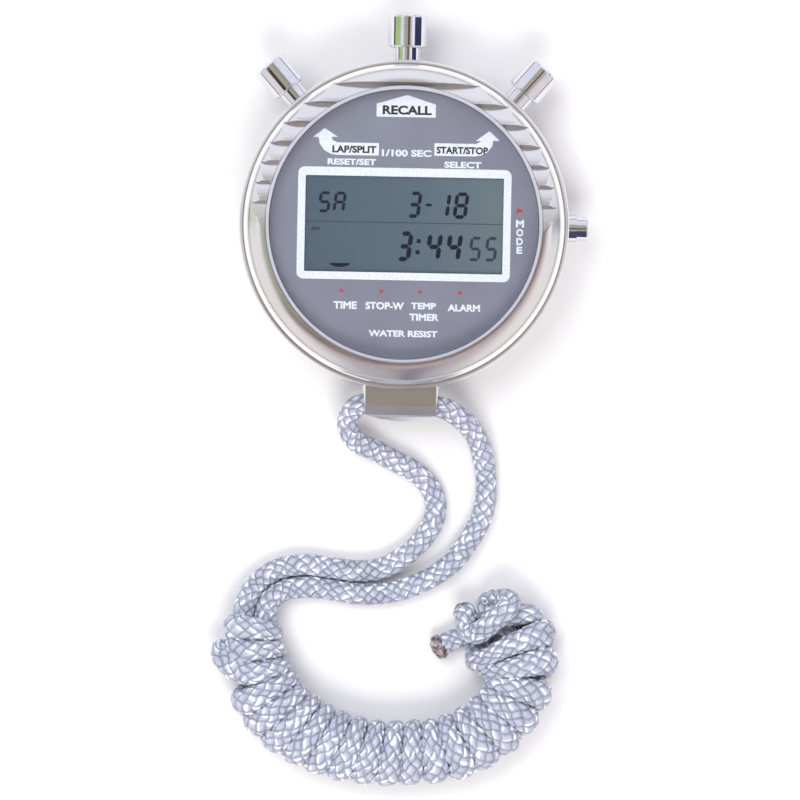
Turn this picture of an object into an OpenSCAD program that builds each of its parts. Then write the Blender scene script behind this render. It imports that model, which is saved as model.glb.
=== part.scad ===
// Hand-held digital stopwatch in a round metal case, with three plungers on top,
// a small mode button at the side and a braided neck cord wound into a hank.
// The origin is the centre of the back cover's outer face. +Z points out of the
// display, +Y towards the middle plunger and +X towards the mode button.

/* [Case] */
// Outer diameter of the case band
case_d = 66; // [65:0.5:68]
// Height of the case band's top edge above the back cover's outer face
case_top = 14.9; // [14.9:0.1:15.5]
// Wall thickness of the case band
case_wall = 4.1; // [3.8:0.1:4.3]
// Thickness of the back cover
back_t = 1.7; // [1.5:0.1:1.7]
// Number of screws that hold the back cover
back_screw_count = 6; // [4:1:8]

/* [Bezel] */
// Outer diameter of the bezel
bezel_d = 64; // [63.6:0.2:64]
// Height of the bezel's crest
bezel_top = 18.4; // [18.2:0.1:19]
// Radius of the bezel's rounded upper face
bezel_curve_r = 4.8; // [4.6:0.1:5.2]
// Number of cuts across each side of the bezel's upper half
notch_count = 7; // [3:1:7]
// Distance between one cut and the next
notch_pitch = 4; // [3.5:0.1:4]
// Depth of the deepest cut
notch_depth = 1.25; // [0.6:0.05:1.4]

/* [Crystal and display] */
// Diameter of the crystal
crystal_d = 53.9; // [53:0.1:53.9]
// Thickness of the crystal
crystal_t = 1.7; // [1.2:0.1:2]
// Width of the display window in the dial plate
window_w = 39.6; // [36:0.2:40]
// Height of the display window in the dial plate
window_h = 19.1; // [17:0.1:20]

/* [Plungers] */
// Angle between the middle plunger and each side plunger
plunger_spread = 41; // [35:1:45]
// Cap diameter of the middle plunger
middle_cap_d = 7.7; // [7:0.1:8.2]
// Cap diameter of the side plungers
side_cap_d = 7.2; // [7:0.1:8]
// Radius from the case's axis to a cap's outer end
cap_end_r = 42.7; // [42.7:0.1:44]
// Travel of a plunger
plunger_travel = 1.4; // [0.8:0.1:1.4]
// Diameter of a plunger's guide tube
tube_d = 5; // [4.8:0.1:5.2]
// Diameter of a plunger's stem
stem_d = 2.8; // [2.4:0.1:2.8]

/* [Mode button] */
// Diameter of the mode button's head
mode_d = 4.8; // [4.4:0.1:4.8]
// Radius from the case's axis to the mode button's outer end
mode_end_r = 36.9; // [36.5:0.1:37.5]

/* [Lug] */
// Width of the cord lug where it meets the case
lug_w = 15.5; // [14.5:0.1:16]
// Distance from the case's axis to the lug's outer edge
lug_end_r = 39.2; // [39:0.1:40]
// Height of the lug
lug_h = 10.2; // [9.6:0.1:10.6]

/* [Cord] */
// Diameter of the braided cord
cord_d = 4.2; // [3.8:0.1:4.2]

/* [Hidden] */
$fn = 96;
small_fn = 32;

// Heights of the stack inside the case
axis_z = 9.5;
cavity_r = case_d / 2 - case_wall;
flange_r = 25.4;
flange_top = 4.5;
cover_r = 29.5;
ledge_r = 27.3;
ledge_z = 13.2;
bezel_seat_z = 14.5;
bezel_bore_r = 27.75;
bezel_r = bezel_d / 2;
board_r = 24.6;
board_z = 7.2;
board_t = 0.8;
dial_z = 13.9;
dial_t = 0.5;
lcd_z = 12.25;
lcd_t = 1.6;
plate_z = 2.6;

// Where the back cover's screws and the module's screws stand
back_screw_r = 27.9;
module_screw_xy = [[17.5, 14.5], [-17.5, 14.5], [17.5, -14.5], [-17.5, -14.5]];

// Angles of the four buttons about the case's axis
recall_angle = 90;
start_stop_angle = 90 - plunger_spread;
lap_reset_angle = 90 + plunger_spread;
mode_angle = 0;

// Plunger lengths, as distances from the case's axis
tube_in_r = 28.6;
tube_out_r = 37.2;
cap_in_r = cap_end_r - 7.1;
cap_roof_r = cap_end_r - 1.3;
cup_r = tube_d / 2 + 0.3;
contact_r = 25.45;
contact_t = 0.25;
stem_in_r = contact_r + contact_t + 0.1 + plunger_travel;
clip_r = 28.15;
clip_t = 0.4;
clip_bore_r = 1.12;
seal_r = 31;
seal_wire_r = 0.27;

// Mode button lengths, as distances from the case's axis
mode_travel = 0.9;
mode_tube_r = mode_d / 2 + 0.35;
mode_tube_out_r = 34.6;
mode_pocket_in_r = 30.2;
mode_head_in_r = 33.2;
mode_stem_r = 1.2;
mode_seal_r = 29.3;

// The cord's channel through the lug
channel_y = -36;
channel_z = 8.5;
channel_r = cord_d / 2 + 0.35;
lug_z = channel_z - lug_h / 2;

// The cord's two strands from the lug to the hank, and the hank's own centre line
hank_r = 1.5 * cord_d;
left_route = [
    [0, -36, 8.5], [-4, -36, 8.5], [-7.5, -36, 8.3], [-9.5, -37, 7.6], [-10.5, -39.5, 6.3],
    [-10, -42, 4.8], [-8, -44, 3.4], [-5, -45.2, 2.4], [-2, -46.8, 2.1], [2, -48.7, 2.1],
    [5, -51, 2.1], [7, -54, 2.1], [7.5, -57, 2.1], [6.5, -60.5, 2.1], [4, -64, 2.1],
    [0.5, -67, 2.1], [-3.5, -69, 2.1], [-8.5, -69.5, 2.1], [-14, -69, 2.1], [-19, -68.5, 2.1],
    [-24, -69.5, 2.1], [-28, -72.3, 3], [-30.2, -75.8, 4.8], [-30.7, -79.5, 6.3]
];
right_route = [
    [0, -36, 8.5], [4, -36, 8.5], [8, -36.3, 8.3], [11.5, -38, 7.2], [14.2, -40.5, 5.6],
    [16, -43.5, 4], [17, -47, 2.7], [17.5, -51, 2.1], [17.5, -55, 2.1], [16.5, -59, 2.1],
    [14, -63.5, 2.1], [11, -67.5, 2.1], [7, -70.5, 2.1], [2, -72.8, 2.1], [-3, -74, 2.1],
    [-8, -74.2, 2.1], [-13, -73.5, 2.1], [-18, -73, 2.1], [-22.5, -73.8, 2.7],
    [-25.5, -76, 4.5], [-26.3, -79.5, 6.3]
];
hank_route = [
    [-28.5, -79.5, 6.3], [-29, -84, 6.3], [-27.8, -91.5, 6.3], [-23.5, -98.5, 6.3],
    [-15.5, -104, 6.3], [-6, -106.5, 6.3], [3, -106.5, 6.3], [11, -104.5, 6.3],
    [18, -100.5, 6.3], [22.5, -95.5, 6.3], [24.5, -90.5, 6.3], [24.5, -84.5, 6.3]
];
knot_route = [
    [24.5, -84.5, 6.3], [24, -82.5, 6.8], [23, -80.5, 7], [21.5, -78.5, 6.8],
    [19, -77.3, 6.2], [16.5, -77.3, 5]
];
knot_r = [hank_r, 6.8, 7, 6.6, 5.8, 3.5];
tail_route = [[17, -81, 3.6], [14, -81.2, 3], [11, -82.3, 2.3], [8, -83.5, 2.1]];

// Points along an arc about c, from angle a0 to angle a1
function arc(c, r, a0, a1, steps = 8) =
    [for (i = [0 : steps]) let (a = a0 + (a1 - a0) * i / steps) c + r * [cos(a), sin(a)]];

// Points of a coil of turns about the Z axis, from z0 to z1
function coil(r, z0, z1, turns, steps = 12) =
    [for (i = [0 : turns * steps]) let (a = 360 * i / steps)
        [r * cos(a), r * sin(a), z0 + (z1 - z0) * i / (turns * steps)]];

function unit(v) = v / norm(v);

// Direction of a route at its point i. first and last override it at the two ends.
function heading(route, i, first, last) =
    i == 0 && first != undef ? first :
    i == len(route) - 1 && last != undef ? last :
    unit(route[min(i + 1, len(route) - 1)] - route[max(i - 1, 0)]);

function section(c, t, r, sides) =
    let (u = unit(cross([0, 0, 1], t)), v = cross(t, u))
    [for (i = [0 : sides - 1]) c + r * (cos(360 * i / sides) * u + sin(360 * i / sides) * v)];

// A tube of radius r, or of one radius for each point, along a route
module sweep(route, r, sides, first = undef, last = undef) {
    count = len(route);
    points = [for (i = [0 : count - 1])
        each section(route[i], heading(route, i, first, last), is_list(r) ? r[i] : r, sides)];
    skin = [for (i = [0 : count - 2], j = [0 : sides - 1]) let (k = (j + 1) % sides)
        [i * sides + j, (i + 1) * sides + j, (i + 1) * sides + k, i * sides + k]];
    near_end = [for (j = [0 : sides - 1]) j];
    far_end = [for (j = [sides - 1 : -1 : 0]) (count - 1) * sides + j];
    polyhedron(points, concat([near_end, far_end], skin), convexity = 6);
}

// Turns a piece that is built along +Z so that it points out of the case at an angle
module at_button(angle) {
    rotate([0, 0, angle])
        translate([0, 0, axis_z])
            rotate([0, 90, 0])
                children();
}

// A straight round bar between two distances along +Z
module bar(r, from, to) {
    translate([0, 0, from])
        cylinder(r = r, h = to - from, $fn = small_fn);
}

module at_back_screws() {
    for (i = [0 : back_screw_count - 1])
        rotate([0, 0, 30 + 360 * i / back_screw_count])
            translate([back_screw_r, 0, 0])
                children();
}

module at_module_screws() {
    for (p = module_screw_xy)
        translate([p[0], p[1], 0])
            children();
}

module rounded_window(w, h, r, z0, z1) {
    translate([0, 0, z0])
        linear_extrude(z1 - z0)
            union() {
                square([w - 2 * r, h], center = true);
                square([w, h - 2 * r], center = true);
                for (x = [-1, 1], y = [-1, 1])
                    translate([x * (w / 2 - r), y * (h / 2 - r)])
                        circle(r, $fn = small_fn);
            }
}

// Case

module case_body() {
    r = case_d / 2;
    color("silver")
        difference() {
            rotate_extrude()
                polygon(concat(
                    [[flange_r, back_t], [cover_r + 0.1, back_t], [cover_r + 0.1, 0.6]],
                    [[cover_r + 0.4, 0.3]],
                    arc([r - 2.6, 2.9], 2.6, -90, 0),
                    arc([r - 0.7, case_top - 0.7], 0.7, 0, 90, 4),
                    [[bezel_r + 0.2, case_top], [bezel_r + 0.2, bezel_seat_z]],
                    [[ledge_r, bezel_seat_z], [ledge_r, ledge_z], [cavity_r, ledge_z]],
                    [[cavity_r, flange_top], [flange_r, flange_top]]
                ));
            translate([0, 0, back_t - 0.5])
                back_ring(26.45, 25.85, 1.1);
            at_back_screws()
                bar(0.78, back_t - 0.5, 4.3);
            for (a = [recall_angle, start_stop_angle, lap_reset_angle])
                at_button(a)
                    bar(tube_d / 2 + 0.02, cavity_r - 1, r + 1);
            at_button(mode_angle)
                bar(mode_tube_r + 0.02, cavity_r - 1, r + 1);
            lug_tongue(0.05);
        }
}

module back_ring(outer, inner, h) {
    difference() {
        cylinder(r = outer, h = h);
        translate([0, 0, -1])
            cylinder(r = inner, h = h + 2);
    }
}

// Depth of one cut in the bezel. The lower cuts are shallower than the upper ones.
function cut_depth(k) = min(notch_depth, notch_depth * (0.3 + 0.15 * k));

// A cut is deepest at its upper line, where it ends in a steep wall, and rises towards
// the next line below. The lowest one runs out into the smooth lower half.
module bezel_cut(k) {
    line = k * notch_pitch;
    deep = cut_depth(k);
    shallow = k == 1 ? -0.6 : 0.3 * cut_depth(k - 1);
    low = k == 1 ? line - 8 : line - notch_pitch;
    rotate([90, 0, 90])
        linear_extrude(80, center = true)
            polygon([
                [low, bezel_top - shallow], [line - 0.5, bezel_top - deep],
                [line - 0.12, bezel_top - deep + 0.04], [line + 0.2, bezel_top - deep * 0.5],
                [line + 0.32, bezel_top - deep * 0.2], [line + 0.36, bezel_top + 1],
                [low, bezel_top + 1]
            ]);
}

module bezel() {
    centre = [bezel_bore_r, bezel_top - bezel_curve_r];
    lowest = acos((bezel_r - bezel_bore_r) / bezel_curve_r);
    color("gainsboro")
        difference() {
            rotate_extrude($fn = 144)
                polygon(concat(
                    [[bezel_bore_r, bezel_seat_z], [bezel_r, bezel_seat_z]],
                    arc(centre, bezel_curve_r, lowest, 90, 16)
                ));
            for (k = [1 : notch_count])
                bezel_cut(k);
        }
}

module crystal() {
    r = crystal_d / 2;
    top = bezel_top - 0.8;
    color([0.85, 0.9, 0.95, 0.35])
        rotate_extrude($fn = 144)
            polygon([
                [0, top - crystal_t], [r, top - crystal_t], [r, top - 0.2],
                [r - 0.2, top], [0, top]
            ]);
}

module crystal_gasket() {
    r = crystal_d / 2 + 0.02;
    top = bezel_top - 0.62;
    color("ghostwhite")
        rotate_extrude($fn = 144)
            polygon([
                [r, bezel_seat_z + 0.02], [bezel_bore_r - 0.05, bezel_seat_z + 0.02],
                [bezel_bore_r - 0.05, top - 0.12], [bezel_bore_r - 0.17, top],
                [r + 0.12, top], [r, top - 0.12]
            ]);
}

module dial_plate() {
    color("slategray")
        difference() {
            translate([0, 0, dial_z])
                cylinder(r = ledge_r - 0.4, h = dial_t);
            rounded_window(window_w, window_h, 0.5, dial_z - 1, dial_z + 1);
        }
}

// The tongue by which the lug is let into the case band
module lug_tongue(gap) {
    translate([-5 - gap, -case_d / 2 - 0.5, channel_z - 2.5 - gap])
        cube([10 + 2 * gap, case_wall - 1 + gap, 5 + 2 * gap]);
}

module cord_lug() {
    r = case_d / 2 + 0.02;
    end_w = lug_w - 1.6;
    corner_y = -lug_end_r + 1.2;
    half_h = lug_h / 2;
    bow_r = (pow(end_w / 2, 2) + 1.44) / 2.4;
    bow_a = asin(end_w / 2 / bow_r);
    color("silver")
        union() {
            difference() {
                intersection() {
                    translate([0, 0, lug_z - 1])
                        linear_extrude(lug_h + 2)
                            polygon(concat(
                                [[lug_w / 2, -31], [-lug_w / 2, -31]],
                                arc([0, bow_r - lug_end_r], bow_r, -90 - bow_a, -90 + bow_a)
                            ));
                    rotate([90, 0, 90])
                        linear_extrude(lug_w + 2, center = true)
                            polygon(concat(
                                [[-31, lug_z + lug_h], [-31, lug_z]],
                                arc([corner_y + 1.9, lug_z + 2.6], 2.6, -90, -150, 5),
                                arc([-lug_end_r + 0.9, channel_z], 0.9, -150, -210, 4),
                                arc([corner_y + 1.9, lug_z + lug_h - 2.6], 2.6, 150, 90, 5)
                            ));
                    rotate([90, 0, 0])
                        linear_extrude(50)
                            polygon([
                                [-lug_w / 2, channel_z - half_h + 1.6],
                                [-lug_w / 2 + 0.7, channel_z - half_h - 0.1],
                                [lug_w / 2 - 0.7, channel_z - half_h - 0.1],
                                [lug_w / 2, channel_z - half_h + 1.6],
                                [lug_w / 2, channel_z + half_h - 1.6],
                                [lug_w / 2 - 0.7, channel_z + half_h + 0.1],
                                [-lug_w / 2 + 0.7, channel_z + half_h + 0.1],
                                [-lug_w / 2, channel_z + half_h - 1.6]
                            ]);
                }
                cylinder(r = r, h = 40);
                translate([0, channel_y, channel_z])
                    rotate([0, 90, 0])
                        cylinder(r = channel_r, h = lug_w + 2, center = true, $fn = 48);
            }
            difference() {
                lug_tongue(0);
                cylinder(r = cavity_r + 0.5, h = 40);
                translate([-20, -case_d / 2 - 20.2, 0])
                    cube([40, 20, 40]);
            }
        }
}

// Back

module back_cover() {
    color("lightgray")
        difference() {
            rotate_extrude()
                polygon(concat(
                    [[0, 0], [cover_r - 0.4, 0], [cover_r, 0.4], [cover_r, back_t - 0.02]],
                    [[0, back_t - 0.02]]
                ));
            at_back_screws() {
                bar(0.85, -1, back_t + 1);
                translate([0, 0, -0.01])
                    cylinder(r1 = 1.45, r2 = 0.85, h = 0.75, $fn = small_fn);
            }
        }
}

module back_gasket() {
    color("black")
        translate([0, 0, back_t + 0.02])
            back_ring(26.4, 25.9, 0.54);
}

module cross_slot(w, depth) {
    for (a = [0, 90])
        rotate([0, 0, a])
            translate([-w / 2, -0.15, -0.01])
                cube([w, 0.3, depth]);
}

module back_screws() {
    color("silver")
        at_back_screws()
            difference() {
                union() {
                    translate([0, 0, 0.05])
                        cylinder(r1 = 1.36, r2 = 0.75, h = 0.7, $fn = small_fn);
                    bar(0.75, 0.7, 4.1);
                }
                translate([0, 0, 0.04])
                    cross_slot(1.6, 0.35);
            }
}

// Display and module

module lcd_cell() {
    color([0.45, 0.55, 0.6])
        difference() {
            translate([-21, -10.8, lcd_z])
                cube([42, 21.6, lcd_t]);
            translate([-22, -11.8, lcd_z + lcd_t / 2])
                cube([44, 1.8, lcd_t]);
        }
}

module lcd_reflector() {
    color("silver")
        translate([-20, -8.6, lcd_z - 0.25])
            cube([40, 17.2, 0.2]);
}

// The conductive rubber strips press between the board and the display's edge contacts
module zebra_strip(y) {
    color("dimgray")
        translate([-19, y - 0.9, board_z + board_t + 0.02])
            cube([38, 1.8, lcd_z - board_z - board_t - 0.04]);
}

module module_frame() {
    color("whitesmoke")
        difference() {
            translate([0, 0, board_z + board_t + 0.05])
                cylinder(r = 25, h = dial_z - board_z - board_t - 0.1);
            translate([-21.1, -10.9, lcd_z - 0.02])
                cube([42.2, 21.8, 4]);
            translate([-20.1, -8.7, lcd_z - 0.3])
                cube([40.2, 17.4, 4]);
            translate([-19.6, -7.6, board_z])
                cube([39.2, 15.2, 3.3]);
            for (y = [-9.75, 9.75])
                translate([-19.1, y - 1, board_z])
                    cube([38.2, 2, 6]);
            at_module_screws()
                bar(0.73, board_z, 11.2);
        }
}

module circuit_board() {
    color("darkgreen")
        difference() {
            translate([0, 0, board_z])
                cylinder(r = board_r, h = board_t);
            at_module_screws()
                bar(0.9, board_z - 1, board_z + 2);
        }
}

module chip_blob() {
    color("black")
        translate([10, 5, board_z - 0.01])
            mirror([0, 0, 1])
                rotate_extrude($fn = 48)
                    polygon(concat([[0, 0]], arc([3.3, 0], 1.2, 0, 90, 5), [[0, 1.3]]));
}

module quartz_can() {
    color("silver")
        translate([4, -14, board_z - 1.1])
            rotate([0, 90, 0])
                union() {
                    bar(1, 0, 6);
                    for (y = [-0.35, 0.35])
                        translate([0, y, 0])
                            bar(0.15, -1.5, 0.5);
                }
}

module capacitor() {
    color("midnightblue")
        translate([14.5, -8, 0])
            difference() {
                bar(2, 3.9, board_z - 0.02);
                translate([0, 0, 6.2])
                    back_ring(2.5, 1.8, 0.4);
            }
}

// The bead of the thermometer function, on two legs from the board
module temp_sensor() {
    color("saddlebrown")
        translate([-2, 18, 0])
            union() {
                translate([0, 0, 4.6])
                    sphere(r = 0.9, $fn = small_fn);
                for (x = [-0.4, 0.4])
                    translate([x, 0, 0])
                        bar(0.15, 4.8, board_z - 0.02);
            }
}

battery_xy = [-9, -6];

module battery() {
    color("lightgray")
        translate([battery_xy[0], battery_xy[1], 3.2])
            rotate_extrude()
                polygon([
                    [0, 0], [9.8, 0], [10, 0.2], [10, 2.6], [9.7, 2.9],
                    [8.9, 2.9], [8.9, 3.2], [0, 3.2]
                ]);
}

// The strap that grips the battery from the back, on two legs from the board
module battery_clip() {
    color("lightsteelblue")
        translate([battery_xy[0], battery_xy[1], 0])
            union() {
                translate([-11.8, -2, 2.85])
                    cube([23.6, 4, 0.3]);
                for (x = [-11.8, 11.5])
                    translate([x, -2, 2.85])
                        cube([0.3, 4, board_z - 2.87]);
            }
}

module battery_contact() {
    color("gold")
        translate([battery_xy[0], battery_xy[1], 0])
            union() {
                translate([-4, -1.5, 6.45])
                    cube([8, 3, 0.2]);
                translate([2, -1.5, 6.45])
                    cube([2, 3, board_z - 6.47]);
            }
}

buzzer_xy = [9, 8];
buzzer_spring_xy = [15.5, 11];

module buzzer_disc() {
    color("goldenrod")
        translate([buzzer_xy[0], buzzer_xy[1], back_t])
            union() {
                cylinder(r = 9, h = 0.25);
                translate([-1, -1, 0])
                    cylinder(r = 5.5, h = 0.5);
            }
}

module buzzer_spring() {
    color("silver")
        translate([buzzer_spring_xy[0], buzzer_spring_xy[1], 0])
            sweep(coil(0.9, back_t + 0.5, board_z - 0.25, 5), 0.2, 6);
}

module module_plate() {
    color("silver")
        difference() {
            translate([0, 0, plate_z])
                cylinder(r = board_r, h = 0.2);
            translate([battery_xy[0], battery_xy[1], 0])
                bar(10.4, 0, 5);
            translate([battery_xy[0] - 12.3, battery_xy[1] - 2.4, 2])
                cube([24.6, 4.8, 2]);
            translate([buzzer_spring_xy[0], buzzer_spring_xy[1], 0])
                bar(1.8, 0, 5);
            at_module_screws()
                bar(0.9, 0, 5);
        }
}

module module_spacers() {
    color("tan")
        at_module_screws()
            difference() {
                bar(1.5, plate_z + 0.22, board_z - 0.02);
                bar(0.85, 0, 10);
            }
}

module module_screws() {
    color("silver")
        at_module_screws()
            difference() {
                union() {
                    bar(1.3, 1.9, plate_z - 0.02);
                    bar(0.7, 2.4, 11);
                }
                translate([0, 0, 1.9])
                    cross_slot(1.6, 0.35);
            }
}

// The leaf on the board's edge that a stem presses
module switch_contact() {
    color("gold")
        translate([0, 0, axis_z])
            union() {
                translate([contact_r, -1.5, board_z - 0.22 - axis_z])
                    cube([contact_t, 3, 4.2]);
                translate([contact_r - 3, -1.5, board_z - 0.22 - axis_z])
                    cube([3.1, 3, 0.2]);
            }
}

// Plungers, built along +Z with z as the distance from the case's axis

module plunger_tube() {
    color("silver")
        difference() {
            bar(tube_d / 2, tube_in_r, tube_out_r);
            bar(stem_d / 2 + 0.05, 0, 60);
            translate([0, 0, seal_r - 0.4])
                cylinder(r = 2, h = 0.8, $fn = small_fn);
        }
}

module ring_seal(bore_r) {
    color("black")
        rotate_extrude($fn = 48)
            translate([bore_r + seal_wire_r + 0.03, 0])
                circle(seal_wire_r, $fn = 16);
}

module plunger_seal() {
    translate([0, 0, seal_r])
        ring_seal(stem_d / 2);
}

module plunger_spring() {
    color("darkgray")
        sweep(coil(2.08, tube_out_r + 0.3, cap_roof_r - 0.3, 4), 0.24, 6);
}

module plunger_cap(d) {
    r = d / 2;
    dome_r = (r * r + 0.36) / 1.2;
    color("white")
        difference() {
            rotate_extrude()
                polygon(concat(
                    [[0, cap_in_r], [r - 0.3, cap_in_r], [r, cap_in_r + 0.3]],
                    arc([r - 0.55, cap_end_r - 1.1], 0.55, 0, 70, 5),
                    [for (i = [4 : -1 : 0]) let (x = i * (r - 0.6) / 5)
                        [x, cap_end_r - dome_r + sqrt(dome_r * dome_r - x * x)]]
                ));
            bar(cup_r, cap_in_r - 1, cap_roof_r);
            bar(stem_d / 2 + 0.02, cap_roof_r - 1, cap_end_r - 0.5);
        }
}

module plunger_stem() {
    color("silver")
        difference() {
            bar(stem_d / 2, stem_in_r, cap_end_r - 0.55);
            translate([0, 0, clip_r])
                back_ring(stem_d, clip_bore_r - 0.02, clip_t);
        }
}

// A spring clip, open on one side, that keeps a stem in its tube
module stem_clip() {
    color("dimgray")
        translate([0, 0, clip_r + 0.02])
            difference() {
                back_ring(2.3, clip_bore_r, clip_t - 0.04);
                translate([0, -0.6, -1])
                    cube([4, 1.2, 3]);
            }
}

// Mode button, built the same way

module mode_tube() {
    color("silver")
        difference() {
            bar(mode_tube_r, tube_in_r, mode_tube_out_r);
            bar(mode_stem_r + 0.05, 0, 60);
            bar(mode_d / 2 + 0.05, mode_pocket_in_r, 60);
            translate([0, 0, mode_seal_r - 0.4])
                cylinder(r = 1.8, h = 0.8, $fn = small_fn);
        }
}

module mode_seal() {
    translate([0, 0, mode_seal_r])
        ring_seal(mode_stem_r);
}

module mode_spring() {
    color("darkgray")
        sweep(coil(1.8, mode_pocket_in_r + 0.25, mode_head_in_r - 0.25, 3), 0.2, 6);
}

module mode_button() {
    r = mode_d / 2;
    color("white")
        difference() {
            rotate_extrude()
                polygon(concat(
                    [[0, contact_r + contact_t + 0.1 + mode_travel]],
                    [[mode_stem_r, contact_r + contact_t + 0.1 + mode_travel]],
                    [[mode_stem_r, mode_head_in_r], [r, mode_head_in_r]],
                    arc([r - 0.35, mode_end_r - 0.35], 0.35, 0, 90, 4),
                    [[0, mode_end_r]]
                ));
            translate([0, 0, clip_r])
                back_ring(2, 0.98, clip_t);
        }
}

module mode_clip() {
    color("dimgray")
        translate([0, 0, clip_r + 0.02])
            difference() {
                back_ring(2.1, 1, clip_t - 0.04);
                translate([0, -0.6, -1])
                    cube([4, 1.2, 3]);
            }
}

// Cord

module cord_left() {
    color("lightsteelblue")
        sweep(left_route, cord_d / 2, 12, [-1, 0, 0], [0, -1, 0]);
}

module cord_right() {
    color("lightsteelblue")
        sweep(right_route, cord_d / 2, 12, [1, 0, 0], [0, -1, 0]);
}

module cord_hank() {
    color("lightsteelblue")
        sweep(hank_route, hank_r, 12, [0, -1, 0], [0, 1, 0]);
}

module cord_knot() {
    color("lightsteelblue")
        sweep(knot_route, knot_r, 12, [0, 1, 0]);
}

module cord_tail() {
    color("lightsteelblue")
        sweep(tail_route, cord_d / 2, 12);
}

case_body();
bezel();
crystal();
crystal_gasket();
dial_plate();
cord_lug();
back_cover();
back_gasket();
back_screws();
lcd_cell();
lcd_reflector();
zebra_strip(9.75);  // zebra_strip_top
zebra_strip(-9.75);  // zebra_strip_bottom
module_frame();
circuit_board();
chip_blob();
quartz_can();
capacitor();
temp_sensor();
battery();
battery_clip();
battery_contact();
buzzer_disc();
buzzer_spring();
module_plate();
module_spacers();
module_screws();
rotate([0, 0, recall_angle]) switch_contact();  // recall_contact
rotate([0, 0, start_stop_angle]) switch_contact();  // start_stop_contact
rotate([0, 0, lap_reset_angle]) switch_contact();  // lap_reset_contact
rotate([0, 0, mode_angle]) switch_contact();  // mode_contact
at_button(recall_angle) plunger_tube();  // recall_tube
at_button(recall_angle) plunger_seal();  // recall_seal
at_button(recall_angle) plunger_spring();  // recall_spring
at_button(recall_angle) plunger_cap(middle_cap_d);  // recall_cap
at_button(recall_angle) plunger_stem();  // recall_stem
at_button(recall_angle) stem_clip();  // recall_clip
at_button(start_stop_angle) plunger_tube();  // start_stop_tube
at_button(start_stop_angle) plunger_seal();  // start_stop_seal
at_button(start_stop_angle) plunger_spring();  // start_stop_spring
at_button(start_stop_angle) plunger_cap(side_cap_d);  // start_stop_cap
at_button(start_stop_angle) plunger_stem();  // start_stop_stem
at_button(start_stop_angle) stem_clip();  // start_stop_clip
at_button(lap_reset_angle) plunger_tube();  // lap_reset_tube
at_button(lap_reset_angle) plunger_seal();  // lap_reset_seal
at_button(lap_reset_angle) plunger_spring();  // lap_reset_spring
at_button(lap_reset_angle) plunger_cap(side_cap_d);  // lap_reset_cap
at_button(lap_reset_angle) plunger_stem();  // lap_reset_stem
at_button(lap_reset_angle) stem_clip();  // lap_reset_clip
at_button(mode_angle) mode_tube();
at_button(mode_angle) mode_seal();
at_button(mode_angle) mode_spring();
at_button(mode_angle) mode_button();
at_button(mode_angle) mode_clip();
cord_left();
cord_right();
cord_hank();
cord_knot();
cord_tail();
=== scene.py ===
import math

import bpy
import numpy as np
from mathutils import Matrix, Vector


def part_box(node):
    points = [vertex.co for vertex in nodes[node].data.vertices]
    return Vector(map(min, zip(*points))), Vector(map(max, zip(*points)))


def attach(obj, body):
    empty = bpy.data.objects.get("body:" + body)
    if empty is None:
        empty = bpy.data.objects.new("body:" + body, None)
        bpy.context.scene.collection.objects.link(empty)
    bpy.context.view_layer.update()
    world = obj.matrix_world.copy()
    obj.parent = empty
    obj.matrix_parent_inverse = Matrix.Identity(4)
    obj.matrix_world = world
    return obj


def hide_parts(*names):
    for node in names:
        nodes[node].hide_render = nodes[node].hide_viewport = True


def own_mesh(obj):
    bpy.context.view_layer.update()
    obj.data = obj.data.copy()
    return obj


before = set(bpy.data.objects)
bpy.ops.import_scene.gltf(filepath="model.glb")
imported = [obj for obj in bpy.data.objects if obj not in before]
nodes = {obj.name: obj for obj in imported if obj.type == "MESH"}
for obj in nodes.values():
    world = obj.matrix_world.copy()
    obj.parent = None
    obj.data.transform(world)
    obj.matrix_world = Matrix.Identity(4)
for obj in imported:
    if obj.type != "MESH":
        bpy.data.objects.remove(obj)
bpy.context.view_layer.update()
mm = 0.001

print("stage 1: camera")

# A long lens straight above, turned a little about the vertical
view = {"centre": (-0.13, -35.0), "width": 160.0, "focus": 12.0, "distance": 1400.0, "turn": 1.1}
bpy.ops.object.camera_add(
    location=(view["centre"][0] * mm, view["centre"][1] * mm, (view["focus"] + view["distance"]) * mm),
    rotation=(0, 0, math.radians(view["turn"])),
)
camera = bpy.context.object
camera.name = "camera"
camera.data.sensor_width = 36
camera.data.lens = 36 * view["distance"] / view["width"]
camera.data.clip_end = 10
bpy.context.scene.camera = camera


# Node helpers

def newMaterial(name, colour=(0.8, 0.8, 0.8), metallic=0.0, roughness=0.5, **sockets):
    material = bpy.data.materials.new(name)
    material.use_nodes = True
    shader = material.node_tree.nodes["Principled BSDF"]
    shader.inputs["Base Color"].default_value = (*colour, 1)
    shader.inputs["Metallic"].default_value = metallic
    shader.inputs["Roughness"].default_value = roughness
    for socket, value in sockets.items():
        shader.inputs[socket.replace("_", " ")].default_value = value
    return material


def addNode(material, kind, inputs=None, **settings):
    made = material.node_tree.nodes.new(kind)
    for key, value in settings.items():
        setattr(made, key, value)
    for key, value in (inputs or {}).items():
        if isinstance(value, bpy.types.NodeSocket):
            material.node_tree.links.new(value, made.inputs[key])
        else:
            made.inputs[key].default_value = value
    return made


def maths(material, operation, a, b=0.0, c=0.0):
    return addNode(material, "ShaderNodeMath", {0: a, 1: b, 2: c}, operation=operation).outputs[0]


def objectPoint(material):
    return addNode(material, "ShaderNodeTexCoord").outputs["Object"]


# size is the grain in millimetres
def noise(material, size, detail=3.0, point=None, stretch=None):
    point = point or objectPoint(material)
    if stretch:
        point = addNode(material, "ShaderNodeMapping", {"Vector": point, "Scale": stretch}).outputs[0]
    return addNode(
        material, "ShaderNodeTexNoise", {"Vector": point, "Scale": 1000.0 / size, "Detail": detail}
    ).outputs["Fac"]


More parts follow.
